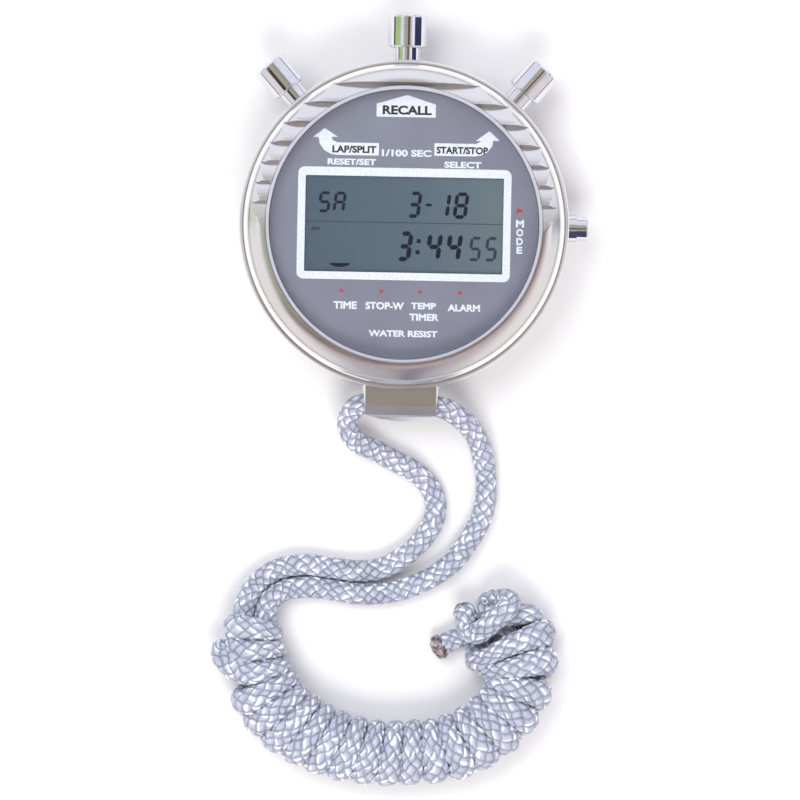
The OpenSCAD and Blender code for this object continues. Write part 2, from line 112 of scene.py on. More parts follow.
def ramp(material, factor, stops):
    made = addNode(material, "ShaderNodeValToRGB", {"Fac": factor})
    elements = made.color_ramp.elements
    while len(elements) < len(stops):
        elements.new(0.5)
    for element, (position, colour) in zip(elements, stops):
        element.position = position
        element.color = (*colour, 1)
    return made.outputs["Color"]


def spread(material, value, low, high):
    return addNode(
        material, "ShaderNodeMapRange", {"Value": value, "To Min": low, "To Max": high}
    ).outputs[0]


def bump(material, height, distance, strength=1.0):
    return addNode(
        material, "ShaderNodeBump", {"Height": height, "Distance": distance * mm, "Strength": strength}
    ).outputs[0]


def feed(material, **sockets):
    shader = material.node_tree.nodes["Principled BSDF"]
    for socket, value in sockets.items():
        material.node_tree.links.new(value, shader.inputs[socket.replace("_", " ")])
    return material


# Mesh helpers

def deselect():
    if bpy.context.object and bpy.context.object.mode != "OBJECT":
        bpy.ops.object.mode_set(mode="OBJECT")
    bpy.ops.object.select_all(action="DESELECT")


# Puts the piece's place into its mesh, with its object at the origin
def place(obj, matrix=None):
    deselect()
    obj.select_set(True)
    bpy.context.view_layer.objects.active = obj
    if matrix is not None:
        obj.matrix_world = matrix @ obj.matrix_world
    bpy.context.view_layer.update()
    bpy.ops.object.transform_apply(location=True, rotation=True, scale=True)
    return obj


def joined(name, pieces):
    deselect()
    for piece in pieces:
        piece.select_set(True)
    bpy.context.view_layer.objects.active = pieces[0]
    if len(pieces) > 1:
        bpy.ops.object.join()
    made = bpy.context.object
    made.name = name
    made.data.name = name
    return made


def finished(obj, material, slotName, body="case", *replaced, angle=35):
    deselect()
    obj.select_set(True)
    bpy.context.view_layer.objects.active = obj
    bpy.ops.object.shade_smooth_by_angle(angle=math.radians(angle))
    obj.data.materials.clear()
    obj.data.materials.append(material)
    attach(obj, body)
    if replaced:
        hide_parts(*replaced)
    return obj


# A flat plate with this outline in millimetres, from one height to another
def cutFrom(points, low, high):
    deselect()
    bpy.ops.mesh.primitive_circle_add(vertices=len(points), radius=mm, fill_type="NGON")
    obj = bpy.context.object
    for vertex, (x, y) in zip(obj.data.vertices, points):
        vertex.co = (x * mm, y * mm, low * mm)
    bpy.ops.object.mode_set(mode="EDIT")
    bpy.ops.mesh.select_all(action="SELECT")
    bpy.ops.mesh.extrude_region_move(TRANSFORM_OT_translate={"value": (0, 0, (high - low) * mm)})
    bpy.ops.mesh.select_all(action="SELECT")
    bpy.ops.mesh.normals_make_consistent(inside=False)
    bpy.ops.object.mode_set(mode="OBJECT")
    return obj


print("stage 2: cords")

# The cord's line follows the same points as the solid routes
cordShape = {
    "diameter": 4.2, "columns": 12, "sides": 36, "pitch": 2.35, "rows": 6, "relief": 0.3, "proud": 0.13,
    "wide": 1.07, "wideOutside": 0.23, "flat": 0.93, "fadeIn": 8, "exitSide": 7.2,
    "coreStart": 5.5, "coreEnd": 80, "tipSizes": {"tail": 5.0, "knot": 4.1}, "lineStep": 0.05,
    "left": [
        [0, -36, 8.5], [-4, -36, 8.5], [-7.5, -36, 8.3], [-9.5, -37, 7.6], [-10.5, -39.5, 6.3],
        [-10, -42, 4.8], [-8, -44, 3.4], [-5, -45.2, 2.4], [-2, -46.8, 2.1], [2, -48.7, 2.1],
        [5, -51, 2.1], [7, -54, 2.1], [7.5, -57, 2.1], [6.5, -60.5, 2.1], [4, -64, 2.1],
        [0.5, -67, 2.1], [-3.5, -69, 2.1], [-8.5, -69.5, 2.1], [-14, -69, 2.1], [-19, -68.5, 2.1],
        [-24, -69.5, 2.1], [-28, -72.3, 3], [-30.2, -75.8, 4.8], [-30.7, -79.5, 6.3],
    ],
    "right": [
        [0, -36, 8.5], [4, -36, 8.5], [8, -36.3, 8.3], [11.5, -38, 7.2], [14.2, -40.5, 5.6],
        [16, -43.5, 4], [17, -47, 2.7], [17.5, -51, 2.1], [17.5, -55, 2.1], [16.5, -59, 2.1],
        [14, -63.5, 2.1], [11, -67.5, 2.1], [7, -70.5, 2.1], [2, -72.8, 2.1], [-3, -74, 2.1],
        [-8, -74.2, 2.1], [-13, -73.5, 2.1], [-18, -73, 2.1], [-22.5, -73.8, 2.7],
        [-25.5, -76, 4.5], [-26.3, -79.5, 6.3],
    ],
    "hank": [
        [-28.5, -79.5, 6.3], [-29, -84, 6.3], [-27.8, -91.5, 6.3], [-23.5, -98.5, 6.3],
        [-15.5, -104, 6.3], [-6, -106.5, 6.3], [3, -106.5, 6.3], [11, -104.5, 6.3],
        [18, -100.5, 6.3], [22.5, -95.5, 6.3], [24.5, -90.5, 6.3], [24.5, -84.5, 6.3],
        [24.2, -79.5, 6.3],
    ],
    # the winding strand after its last turn, and the core strand's free end
    "knot": [
        [16.4, -85.2, 3.8], [19.2, -83.6, 2.2], [22.6, -81.4, 2.1], [25.6, -79.4, 3.2],
        [27.2, -77.9, 5.6], [25.9, -77.4, 7.8], [22.8, -77.9, 7.6], [19.8, -78.2, 6.2],
        [17.7, -76.9, 4.8], [18.5, -75.2, 4.4], [20.6, -74.7, 6.0], [22.5, -74.7, 8.4],
        [22.5, -75.9, 10.6], [20.7, -77.7, 11.6], [18.4, -79.8, 10.9], [16.3, -81.5, 8.9],
        [14.7, -81.0, 7.0], [14.1, -79.4, 6.0], [13.9, -78.1, 5.2], [13.3, -76.9, 4.5],
    ],
    "tail": [
        [24, -84.5, 6.3], [22.3, -81.6, 5.6], [19.5, -80.4, 4.4], [16.5, -80.8, 3.3],
        [13.9, -82.0, 2.7], [11.3, -83.2, 2.3], [8.7, -84.6, 2.2],
    ],
}

# Each table gives a value at some turns: where the turn crosses the top, how wide it is, how far its
# middle lies towards the inner side, and how far its two ends are pushed apart along the hank
winding = {
    "last": 20.25, "up": 4.2,
    "along": ((0.25, 0.3), (0.5, 0.9), (1, 1.9), (2, 6.4), (3, 11.0), (4, 15.3), (20, 84.6)),
    "side": ((0.25, 2.2), (0.5, 3.9), (1, 4.0), (2, 4.3), (3, 4.9), (4, 5.4), (6, 5.4), (8, 5.0),
             (10, 4.7), (13, 4.7), (14, 5.0), (18, 4.9), (19, 5.7), (20, 7.0), (20.25, 7.2)),
    "inward": ((1, 0), (2, 0.5), (4, 0.6), (8, 0.9), (12, 0.8), (14, -0.4), (18, -0.8),
               (19, -0.5), (20, 1.4)),
    "skew": ((1, -0.8), (3, -1.0), (5, -0.5), (8, 0), (12, 0), (14, -0.8), (17, -1.0),
             (18, -1.0), (19, -2.1), (20, -3.2)),
    "bulge": {"turn": 2.73, "spread": 0.15, "out": 2.2, "back": 4.2},
}


# A smooth line through the points, with a point each step millimetres
def throughPoints(points, step=cordShape["lineStep"]):
    pts = np.array(points, float)
    pts = np.vstack([2 * pts[0] - pts[1], pts, 2 * pts[-1] - pts[-2]])
    gaps = np.maximum(np.linalg.norm(np.diff(pts, axis=0), axis=1), 1e-6) ** 0.5
    line = []
    for i in range(1, len(pts) - 2):
        p0, p1, p2, p3 = pts[i - 1:i + 3]
        t1, t2, t3 = np.cumsum(gaps[i - 1:i + 2])
        t = np.linspace(t1, t2, 24, endpoint=False)[:, None]
        a1 = (t1 - t) / t1 * p0 + t / t1 * p1
        a2 = (t2 - t) / (t2 - t1) * p1 + (t - t1) / (t2 - t1) * p2
        a3 = (t3 - t) / (t3 - t2) * p2 + (t - t2) / (t3 - t2) * p3
        b1 = (t2 - t) / t2 * a1 + t / t2 * a2
        b2 = (t3 - t) / (t3 - t1) * a2 + (t - t1) / (t3 - t1) * a3
        line.append((t2 - t) / (t2 - t1) * b1 + (t - t1) / (t2 - t1) * b2)
    line = np.vstack(line + [pts[-2:-1]])
    run = np.concatenate([[0], np.cumsum(np.linalg.norm(np.diff(line, axis=0), axis=1))])
    even = np.linspace(0, run[-1], int(run[-1] / step) + 1)
    return np.stack([np.interp(even, run, line[:, k]) for k in range(3)], axis=1), run[-1]


def look(table, turn):
    return np.interp(turn, [row[0] for row in table], [row[1] for row in table])


# The winding strand's points round the hank, by turns
def windingPoints():
    line, length = throughPoints(cordShape["hank"])
    step = length / (len(line) - 1)
    bulge = winding["bulge"]
    points = []
    for turn in np.arange(0.25, winding["last"] + 0.001, 1 / 20):
        angle = math.radians(90 - 360 * turn)
        swell = math.exp(-(((turn - bulge["turn"]) / bulge["spread"]) ** 2))
        along = look(winding["along"], turn) - bulge["back"] * swell
        along += look(winding["skew"], turn) * math.cos(angle)
        i = int(min(max(along / step, 1), len(line) - 2))
        ahead = line[i + 1] - line[i - 1]
        ahead /= np.linalg.norm(ahead)
        inward = np.array([-ahead[1], ahead[0], 0])
        side = look(winding["side"], turn) + bulge["out"] * swell
        up = min(side, winding["up"]) if turn < 1 else winding["up"]
        points.append(
            line[i] + inward * (side * math.cos(angle) + look(winding["inward"], turn))
            + np.array([0, 0, up * math.sin(angle)])
        )
    return points


# The height of a braid cell, 0 in the gaps and 1 at its middle
def braidRelief(first, second):
    firstFall, secondFall = (np.clip(1 - np.abs(2 * part) ** 2.6, 0, 1) for part in (first, second))
    return firstFall ** 0.6 * secondFall ** 0.6


# Wound tightly, the strand spreads along the hank and flattens towards it
def squeeze(line, length, wound):
    hank = np.array(throughPoints(cordShape["hank"])[0][::20])
    nearest = np.argmin(((line[:, None, :2] - hank[None, :, :2]) ** 2).sum(axis=2), axis=1)
    along = np.gradient(hank, axis=0)[nearest]
    along /= np.linalg.norm(along, axis=1)[:, None]
    inward = np.stack([-along[:, 1], along[:, 0], 0 * along[:, 0]], axis=1)
    inner = np.clip(((line - hank[nearest]) * inward).sum(axis=1) / 5, -1, 1)
    run = np.linspace(0, length, len(line))
    fade = cordShape["fadeIn"]
    amount = np.clip((run - wound[0]) / fade, 0, 1) * np.clip((wound[1] - run) / fade, 0, 1)
    wide = 1 + (cordShape["wide"] - cordShape["wideOutside"] * inner - 1) * amount
    flat = 1 + (cordShape["flat"] - 1) * amount
    return along, wide, flat


def makeCord(name, points, material, wound=None):
    shape = cordShape
    line, length = throughPoints(points)
    ahead = np.gradient(line, axis=0)
    ahead /= np.linalg.norm(ahead, axis=1)[:, None]
    side = np.zeros_like(line)
    side[0] = np.cross(ahead[0], [0, 0, 1])
    for i in range(1, len(line)):  # carried along with no twist
        carried = side[i - 1] - ahead[i] * (side[i - 1] @ ahead[i])
        side[i] = carried / np.linalg.norm(carried)
    up = np.cross(side, ahead)
    sides, rows = shape["sides"], shape["rows"]
    count = int(length / shape["pitch"] * rows) + 1
    rowLength = length / (count - 1)
    pitch = rows * rowLength
    turn = np.arange(sides)[None, :] / sides
    around = 2 * math.pi * turn
    along = np.arange(count)[:, None] * rowLength + 0 * turn
    # hand-pulled, so no two cells sit quite alike
    wander = 0.16 * np.sin(0.61 * along + around) + 0.15 * np.sin(1.7 * along + 3 * around)
    cells = along / pitch + 0.09 * np.sin(0.83 * along + 2 * around)
    cells = cells + 0.07 * np.sin(2.3 * along - 3 * around)
    first = (turn * shape["columns"] + wander) / 2 + cells
    second = (turn * shape["columns"] + wander) / 2 - cells
    relief = braidRelief(first - np.round(first), second - np.round(second))
    radius = shape["diameter"] / 2 + shape["proud"] - shape["relief"] * (1 - relief)
    spot = np.clip(along / length * (len(line) - 1), 0, len(line) - 1)

    def at(values):
        return np.stack([np.interp(spot, np.arange(len(line)), values[:, k]) for k in range(3)], axis=-1)

    angle = (np.arange(sides) / sides * 2 * math.pi)[None, :, None]
    out = radius[..., None] * (at(side) * np.cos(angle) + at(up) * np.sin(angle))
    if wound:
        hankWay, wide, flat = squeeze(line, length, wound)
        hankWay = at(hankWay)
        wide, flat = (np.interp(spot, np.arange(len(line)), v)[..., None] for v in (wide, flat))
        out = out * flat + (wide - flat) * (out * hankWay).sum(axis=-1, keepdims=True) * hankWay
    vertices = at(line) + out
    vertices = np.vstack([vertices.reshape(-1, 3), line[:1], line[-1:]]) * mm
    first, last = count * sides, count * sides + 1
    faces, corners = [], []
    for k in range(count - 1):
        for j in range(sides):
            n = (j + 1) % sides
            faces.append((k * sides + j, (k + 1) * sides + j, (k + 1) * sides + n, k * sides + n))
            corners += [(j, k, j), (j, k + 1, j), (j + 1, k + 1, n), (j + 1, k, n)]
    for j in range(sides):
        n = (j + 1) % sides
        faces.append((first, j, n))
        faces.append((last, (count - 1) * sides + n, (count - 1) * sides + j))
        corners += [(j, 0, j), (j, 0, j), (j + 1, 0, n)]
        corners += [(j, count - 1, j), (j + 1, count - 1, n), (j, count - 1, j)]
    mesh = bpy.data.meshes.new(name)
    mesh.from_pydata(vertices.tolist(), [], faces)
    layer = mesh.uv_layers.new(name="braid")
    uv = [(j / sides + wander[k, v] / shape["columns"], cells[k, v]) for j, k, v in corners]
    layer.data.foreach_set("uv", np.array(uv, np.float32).ravel())
    mesh.update()
    obj = bpy.data.objects.new(name, mesh)
    bpy.context.scene.collection.objects.link(obj)
    mesh.materials.append(material)
    mesh.shade_smooth()
    path = line[:: int(rowLength / shape["lineStep"]) or 1] * mm
    return obj, [tuple(p) for p in path], length * mm


def braidMaterial():
    made = newMaterial("braidedCord", (0.5, 0.52, 0.64), roughness=0.4,
                       Sheen_Weight=0.12, Sheen_Roughness=0.4)
    uvMap = addNode(made, "ShaderNodeUVMap", uv_map="braid").outputs[0]
    uv = addNode(made, "ShaderNodeSeparateXYZ", {0: uvMap})
    turn = maths(made, "MULTIPLY", uv.outputs[0], cordShape["columns"] / 2)
    first = maths(made, "ADD", turn, uv.outputs[1])
    second = maths(made, "SUBTRACT", turn, uv.outputs[1])
    firstCell, secondCell = maths(made, "ROUND", first), maths(made, "ROUND", second)
    first = maths(made, "SUBTRACT", first, firstCell)
    second = maths(made, "SUBTRACT", second, secondCell)
    # strands of one hand lie on top in every other column
    hand = maths(made, "MODULO", maths(made, "ADD", firstCell, secondCell), 2.0)
    swap = maths(made, "MULTIPLY", hand, maths(made, "SUBTRACT", first, second))
    across = maths(made, "ADD", second, swap)
    lengthwise = maths(made, "SUBTRACT", first, swap)
    sides = maths(made, "POWER", maths(made, "ABSOLUTE", maths(made, "MULTIPLY", across, 2.0)), 3.2)
    ends = maths(made, "POWER", maths(made, "ABSOLUTE", maths(made, "MULTIPLY", lengthwise, 2.0)), 2.2)
    crown = maths(made, "MULTIPLY", maths(made, "SUBTRACT", 1.0, sides), maths(made, "SUBTRACT", 1.0, ends))
    which = addNode(made, "ShaderNodeCombineXYZ", {0: firstCell, 1: secondCell})
    own = addNode(made, "ShaderNodeTexWhiteNoise", {"Vector": which.outputs[0]}).outputs["Value"]
    # fine filaments run along each strand; where they turn down, a painted highlight brightens the colour
    point = addNode(made, "ShaderNodeCombineXYZ", {
        0: maths(made, "MULTIPLY", across, 13.0), 1: maths(made, "MULTIPLY", lengthwise, 1.8),
        2: maths(made, "MULTIPLY", own, 40.0),
    })
    filaments = addNode(
        made, "ShaderNodeTexNoise", {"Vector": point.outputs[0], "Scale": 1.0, "Detail": 2.0}
    ).outputs["Fac"]
    fromBend = maths(made, "ABSOLUTE", maths(made, "SUBTRACT", lengthwise, 0.2))
    bend = maths(made, "MAXIMUM", maths(made, "SUBTRACT", 1.0, maths(made, "MULTIPLY", fromBend, 4.6)), 0.0)
    shine = maths(made, "MULTIPLY", bend, filaments)
    paintedGlint = maths(made, "MULTIPLY", shine, maths(made, "MULTIPLY", own, 1.2))
    dirt = noise(made, 6.0, 3.0)
    # painted shade: the tone falls from each cell's middle into the dark gaps between the strands
    tone = maths(made, "MULTIPLY_ADD", own, 0.1, maths(made, "MULTIPLY", crown, 0.36))
    tone = maths(made, "MULTIPLY_ADD", filaments, 0.3, tone)
    tone = maths(made, "MULTIPLY_ADD", dirt, 0.16, tone)
    # painted highlight: the glint is added to the tone and reaches the near-white top of the ramp
    tone = maths(made, "ADD", tone, paintedGlint)
    colour = ramp(made, tone, [
        (0.18, (0.1, 0.105, 0.15)), (0.31, (0.3, 0.32, 0.41)), (0.5, (0.43, 0.46, 0.57)),
        (0.7, (0.53, 0.56, 0.68)), (0.84, (0.95, 0.97, 1.0)),
    ])
    height = maths(made, "MULTIPLY_ADD", filaments, 0.35, crown)
    feed(made, Base_Color=colour, Normal=bump(made, height, 0.26, 1.0),
         Roughness=spread(made, filaments, 0.26, 0.5))
    return made


braid = braidMaterial()
hankLine = throughPoints(cordShape["hank"])[0]
coreStart, coreEnd = (int(cordShape[key] / cordShape["lineStep"]) for key in ("coreStart", "coreEnd"))
corePoints = cordShape["left"] + hankLine[coreStart:coreEnd:80].tolist() + cordShape["tail"]
coreCord, corePath, coreLength = makeCord("cordCore", corePoints, braid)
windPoints = cordShape["right"][:-1] + windingPoints() + cordShape["knot"]
rightLength = throughPoints(cordShape["right"])[1]
knotLength = throughPoints(cordShape["knot"])[1]
wound = (rightLength, throughPoints(windPoints)[1] - knotLength)
windCord, windPath, windLength = makeCord("cordWinding", windPoints, braid, wound)
print("cord lengths", round(coreLength, 4), round(windLength, 4))


# The cord's heat-sealed end: a lumpy brown plug over the last of the braid
def meltedTip(name, end, before, size):
    deselect()
    bpy.ops.mesh.primitive_uv_sphere_add(segments=28, ring_count=18, radius=size / 2 * mm)
    tip = bpy.context.object
    direction = (Vector(end) - Vector(before)).normalized()
    for vertex in tip.data.vertices:
        x, y, z = vertex.co / mm
        lump = 1 + 0.07 * math.sin(2.1 * x + 1) * math.sin(2.7 * y) + 0.05 * math.sin(3.9 * z + x)
        vertex.co = (x * lump * mm, y * lump * mm * 0.94, (z * 0.62 * lump if z > 0 else z * 0.9) * mm)
    turned = direction.to_track_quat("Z", "Y").to_matrix().to_4x4()
    place(tip, Matrix.Translation(Vector(end) * mm) @ turned)
    tip.name = name
    return tip


def tipMaterial():
    made = newMaterial("meltedCord", (0.2, 0.15, 0.14), roughness=0.35, Coat_Weight=0.25)
    lumps = noise(made, 1.1, 4.0)
    colour = ramp(made, lumps, [
        (0.32, (0.04, 0.03, 0.035)), (0.47, (0.16, 0.11, 0.11)), (0.56, (0.34, 0.29, 0.3)),
        (0.68, (0.55, 0.53, 0.58)),
    ])
    feed(made, Base_Color=colour, Roughness=spread(made, lumps, 0.2, 0.6),
         Normal=bump(made, lumps, 0.25, 0.7))
    return made


melted = tipMaterial()
tailTip, knotTip = (
    meltedTip(f"{key}Tip", cordShape[key][-1], cordShape[key][-2], size)
    for key, size in cordShape["tipSizes"].items()
)
for tip in (tailTip, knotTip):
    finished(tip, melted, "cord_braid", angle=60)

for cord in (coreCord, windCord):
    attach(cord, "case")
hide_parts("cord_left", "cord_tail")
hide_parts("cord_right", "cord_hank", "cord_knot")

print("stage 3: finishes")


# Blasted and plated metal: a fine grain, a faint cloudiness and the odd wiped streak
def satinMetal(name, colour, grain, shine):
    made = newMaterial(name, colour, 1.0, shine)
    cloud = noise(made, 9.0, 3.0)
    fine = noise(made, 0.16, 2.0)
    both = maths(made, "MULTIPLY_ADD", fine, 0.4, maths(made, "MULTIPLY", cloud, 0.6))
    dark = tuple(0.9 * c for c in colour)
    feed(
        made, Base_Color=ramp(made, both, [(0.3, dark), (0.7, colour)]),
        Roughness=spread(made, both, shine - 0.05, shine + 0.07), Normal=bump(made, fine, grain, 0.5),
    )
    return made


# Plated and polished metal with hair-fine wiping marks and a few dull spots
def polishedMetal(name, colour, shine=0.04):
    made = newMaterial(name, colour, 1.0, shine)
    hair = noise(made, 0.6, 3.0, stretch=(1, 9, 1))
    spots = noise(made, 2.4, 5.0)
    worn = ramp(made, spots, [(0.55, (shine,) * 3), (0.75, (shine + 0.1,) * 3)])
    feed(made, Base_Color=ramp(made, spots, [(0.35, tuple(0.94 * c for c in colour)), (0.6, colour)]),
         Roughness=worn, Normal=bump(made, hair, 0.002, 0.3))
    return made


# Moulded, stamped or pressed parts: a mottled colour and a fine surface grain
def plainPart(name, colour, shine, grain=0.3, depth=0.02, metallic=0.0, darker=0.75, **sockets):
    made = newMaterial(name, colour, metallic, shine, **sockets)
    mottled = noise(made, 3.5, 4.0)
    fine = noise(made, grain, 2.0)
    feed(
        made, Base_Color=ramp(made, mottled, [(0.35, tuple(darker * c for c in colour)), (0.65, colour)]),
        Roughness=spread(made, fine, shine - 0.06, shine + 0.1), Normal=bump(made, fine, depth, 0.5),
    )
    return made


# Green solder mask over etched tracks
def boardFinish():
    made = newMaterial("boardMask", (0.02, 0.16, 0.07), 0.0, 0.3, Coat_Weight=0.4)
    point = addNode(
        made, "ShaderNodeMapping", {"Vector": objectPoint(made), "Scale": (700, 700, 700)}
    ).outputs[0]
    tracks = addNode(made, "ShaderNodeTexBrick", {
        "Vector": point, "Scale": 1.0, "Mortar Size": 0.12, "Mortar Smooth": 0.2,
        "Color1": (0.02, 0.15, 0.065, 1), "Color2": (0.018, 0.13, 0.055, 1),
        "Mortar": (0.05, 0.27, 0.12, 1),
    }, offset=0.35, squash=0.6)
    feed(made, Base_Color=tracks.outputs["Color"], Normal=bump(made, tracks.outputs["Fac"], 0.03, 0.6),
         Roughness=spread(made, noise(made, 2.0), 0.25, 0.4))
    return made


# Clear mineral glass: see-through face on, mirroring at a slant
def crystalFinish():
    made = newMaterial("crystalGlass")
    tree = made.node_tree
    tree.nodes.remove(tree.nodes["Principled BSDF"])
    clear = addNode(made, "ShaderNodeBsdfTransparent", {"Color": (0.97, 0.98, 0.98, 1)})
    smear = noise(made, 7.0, 4.0)
    shine = addNode(made, "ShaderNodeBsdfGlossy", {
        "Color": (1, 1, 1, 1), "Roughness": spread(made, smear, 0.02, 0.07),
    })
    slant = addNode(made, "ShaderNodeLayerWeight", {"Blend": 0.5}).outputs["Facing"]
    share = maths(made, "MULTIPLY_ADD", maths(made, "POWER", slant, 5.0), 0.9, 0.035)
    mixed = addNode(made, "ShaderNodeMixShader", {0: share, 1: clear.outputs[0], 2: shine.outputs[0]})
    tree.links.new(mixed.outputs[0], tree.nodes["Material Output"].inputs["Surface"])
    return made


# The liquid crystal cell over its foil: blue grey, lighter to one side, faintly brushed
def displayFinish():
    made = newMaterial("displayGlass", (0.13, 0.2, 0.25), 0.0, 0.35, Coat_Weight=0.3, Coat_Roughness=0.12)
    point = addNode(made, "ShaderNodeSeparateXYZ", {0: objectPoint(made)})
    across = addNode(made, "ShaderNodeMapRange", {
        "Value": point.outputs[0], "From Min": -0.02, "From Max": 0.02,
    }).outputs[0]
    foil = noise(made, 0.9, 3.0, stretch=(1, 0.1, 1))
    tone = maths(made, "MULTIPLY_ADD", foil, 0.16, maths(made, "MULTIPLY", across, 0.84))
    colour = ramp(made, tone, [
        (0.0, (0.06, 0.098, 0.145)), (0.55, (0.09, 0.132, 0.18)), (1.0, (0.145, 0.19, 0.21)),
    ])
    feed(made, Base_Color=colour, Roughness=spread(made, foil, 0.3, 0.42))
    return made


# Painted dial: lilac grey with a fine metallic speck
def dialFinish():
    made = newMaterial("dialPaint", (0.27, 0.275, 0.35), 0.15, 0.42, Coat_Weight=0.15)
    speck = noise(made, 0.12, 2.0)
    cloud = noise(made, 12.0, 2.0)
    both = maths(made, "MULTIPLY_ADD", speck, 0.5, maths(made, "MULTIPLY", cloud, 0.5))
    feed(made, Base_Color=ramp(made, both, [(0.3, (0.225, 0.23, 0.305)), (0.7, (0.29, 0.295, 0.37))]),
         Roughness=spread(made, speck, 0.36, 0.5), Normal=bump(made, speck, 0.004, 0.5))
    return made


satin = satinMetal("satinChrome", (0.86, 0.845, 0.85), 0.006, 0.24)
bezelSatin = satinMetal("bezelChrome", (0.92, 0.905, 0.9), 0.005, 0.2)
backSteel = satinMetal("brushedBack", (0.66, 0.66, 0.67), 0.01, 0.3)
mirror = polishedMetal("mirrorChrome", (0.79, 0.79, 0.84))
screwSteel = polishedMetal("screwSteel", (0.7, 0.7, 0.72), 0.18)
springSteel = polishedMetal("springSteel", (0.6, 0.6, 0.63), 0.2)
brass = polishedMetal("contactBrass", (0.85, 0.66, 0.36), 0.2)
plungers = ("recall", "start_stop", "lap_reset")
finishes = {
    satin: ("case_body", "cord_lug"),
    bezelSatin: ("bezel",),
    backSteel: ("back_cover",),
    mirror: tuple(f"{b}_{p}" for b in plungers for p in ("cap", "tube")) + ("mode_tube", "mode_button"),
    screwSteel: ("back_screws", "module_screws"),
    springSteel: tuple(f"{b}_{p}" for b in plungers for p in ("stem", "clip"))
    + ("mode_clip", "battery_contact", "buzzer_spring", "module_plate", "battery_clip"),
    brass: ("buzzer_disc", "recall_contact", "start_stop_contact", "lap_reset_contact", "mode_contact"),
    crystalFinish(): ("crystal",),
    plainPart("whiteGasket", (0.5, 0.5, 0.57), 0.4, 0.5, 0.01, darker=0.94): ("crystal_gasket",),
    plainPart("blackRubber", (0.02, 0.02, 0.022), 0.55): (
        "back_gasket", "recall_seal", "start_stop_seal", "lap_reset_seal", "mode_seal",
    ),
    dialFinish(): ("dial_plate",),
    displayFinish(): ("lcd_cell",),
    plainPart("reflectorFoil", (0.7, 0.72, 0.7), 0.3, 0.2, 0.01, metallic=0.8): ("lcd_reflector",),
    plainPart("zebraRubber", (0.55, 0.33, 0.3), 0.6): ("zebra_strip_top", "zebra_strip_bottom"),
    plainPart("framePlastic", (0.6, 0.6, 0.56), 0.5): ("module_frame", "module_spacers"),
    boardFinish(): ("circuit_board",),
    plainPart("chipEpoxy", (0.015, 0.015, 0.016), 0.3): ("chip_blob",),
    plainPart("quartzCan", (0.72, 0.71, 0.68), 0.2, 0.2, 0.004, metallic=1.0): ("quartz_can",),
    plainPart("capacitorSleeve", (0.03, 0.05, 0.2), 0.35): ("capacitor",),
    plainPart("sensorBead", (0.3, 0.06, 0.03), 0.3, Coat_Weight=0.4): ("temp_sensor",),
    plainPart("batterySteel", (0.68, 0.68, 0.66), 0.28, 0.2, 0.006, metallic=1.0): ("battery",),
}
for finish, names in finishes.items():
    for name in names:
        nodes[name].data.materials.clear()
        nodes[name].data.materials.append(finish)


print("stage 4: bezel, dial and display")

# The bezel again, with each of its cells rounded down towards the line that it ends in. The first is
# least times as deep as the deepest, and each next one deeper by more
bezelCells = {
    "pitch": 4.0, "count": 7, "depth": 1.25, "least": 0.45, "more": 0.15, "rise": 0.3, "lowest": 0.6,
    "begin": 0.2, "wall": 0.1, "flat": 0.5, "rounding": 0.5, "power": 2.2, "lift": 0.006, "steps": 8,
    "thick": {"line": 0.3, "start": 0.05}, "reach": 40, "smooth": 24,
}


def cellDepth(k):
    share = bezelCells["least"] + bezelCells["more"] * (k - 1)
    return min(bezelCells["depth"], bezelCells["depth"] * share)


# What is taken off the flat floor of one cell, as its outline in y and z
def cellScoop(k, top):
    cell = bezelCells
    line, low = k * cell["pitch"], (k - 1) * cell["pitch"]
    deep, shallow = cellDepth(k), cell["rise"] * cellDepth(k - 1)
    if k == 1:  # it runs out into the smooth lower half
        low, shallow = low - cell["pitch"], -cell["lowest"]
    start, end = low + cell["begin"], line - cell["wall"]
    slope = (deep - shallow) / (line - cell["flat"] - low)
    under = []
    for step in range(cell["steps"] + 1):
        share = step / cell["steps"]
        y = start + share * (end - start)
        floorLevel = top - shallow - slope * (y - low) + cell["lift"]
        under.append((y, floorLevel - cell["rounding"] * share ** cell["power"]))
    thick = cell["thick"]
    return under + [
        (end, under[-1][1] + cell["rounding"] + thick["line"]), (start, under[0][1] + thick["start"]),
    ]


def roundedBezel():
    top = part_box("bezel")[1][2] / mm
    scoops = []
    for k in range(1, bezelCells["count"] + 1):
        scoop = cutFrom(cellScoop(k, top), -bezelCells["reach"], bezelCells["reach"])
        for vertex in scoop.data.vertices:  # stood up, so that it runs across the bezel
            y, z, x = vertex.co
            vertex.co = (x, y, z)
        scoops.append(scoop)
    cutter = joined("scoops", scoops)
    bezel = bpy.data.objects.new("bezelShell", nodes["bezel"].data.copy())
    bpy.context.scene.collection.objects.link(bezel)
    deselect()
    bezel.select_set(True)
    bpy.context.view_layer.objects.active = bezel
    bpy.ops.mesh.customdata_custom_splitnormals_clear()
    bpy.ops.object.mode_set(mode="EDIT")
    bpy.ops.mesh.select_all(action="SELECT")
    bpy.ops.mesh.remove_doubles(threshold=2e-6)
    bpy.ops.object.mode_set(mode="OBJECT")
    cut = bezel.modifiers.new("rounded", "BOOLEAN")
    cut.operation, cut.solver, cut.object = "DIFFERENCE", "EXACT", cutter
    bpy.ops.object.modifier_apply(modifier="rounded")
    bpy.data.objects.remove(cutter)
    finished(bezel, bezelSatin, "bezel_chrome", "case", "bezel", angle=bezelCells["smooth"])


roundedBezel()

# The dial's printing and what the display shows

